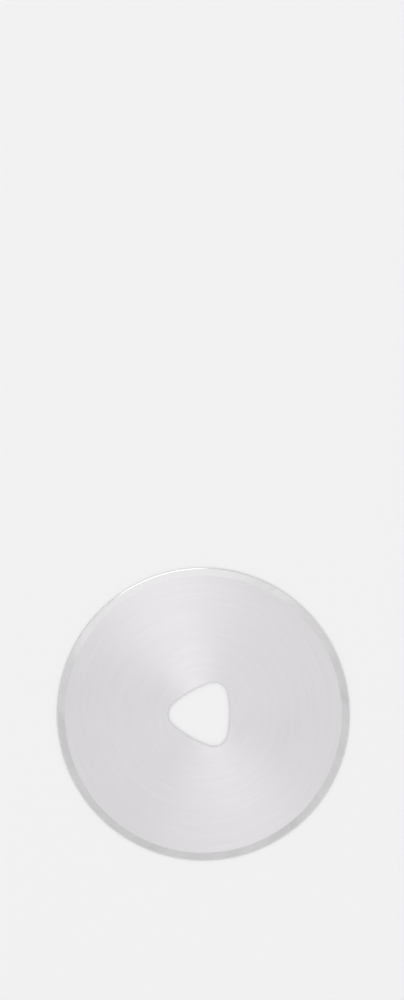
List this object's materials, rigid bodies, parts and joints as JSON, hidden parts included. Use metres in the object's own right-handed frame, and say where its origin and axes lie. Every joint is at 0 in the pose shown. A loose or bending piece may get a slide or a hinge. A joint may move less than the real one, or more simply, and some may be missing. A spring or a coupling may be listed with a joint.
{
  "type": "rotary cutter blade",
  "caption": "Flat round cutting blade of thin steel with a double-bevelled edge all round and a rounded three-cornered centre hole for a cutter's post.",
  "frame": {"origin": "middle of the post hole, at the lower flat face that the blade rests on", "axes": "+Z along the blade's axis, up out of the upper face; one rounded corner of the post hole points along -X"},
  "size_m": [0.045, 0.045, 0.0003],
  "materials": {
    "blade_steel": "bright hardened steel: turned and lapped flat faces with fine circular grain, a finely ground bevel and a near-mirror honed edge"
  },
  "bodies": {
    "root": {"blade": "blade_steel"}
  },
  "joints": []
}
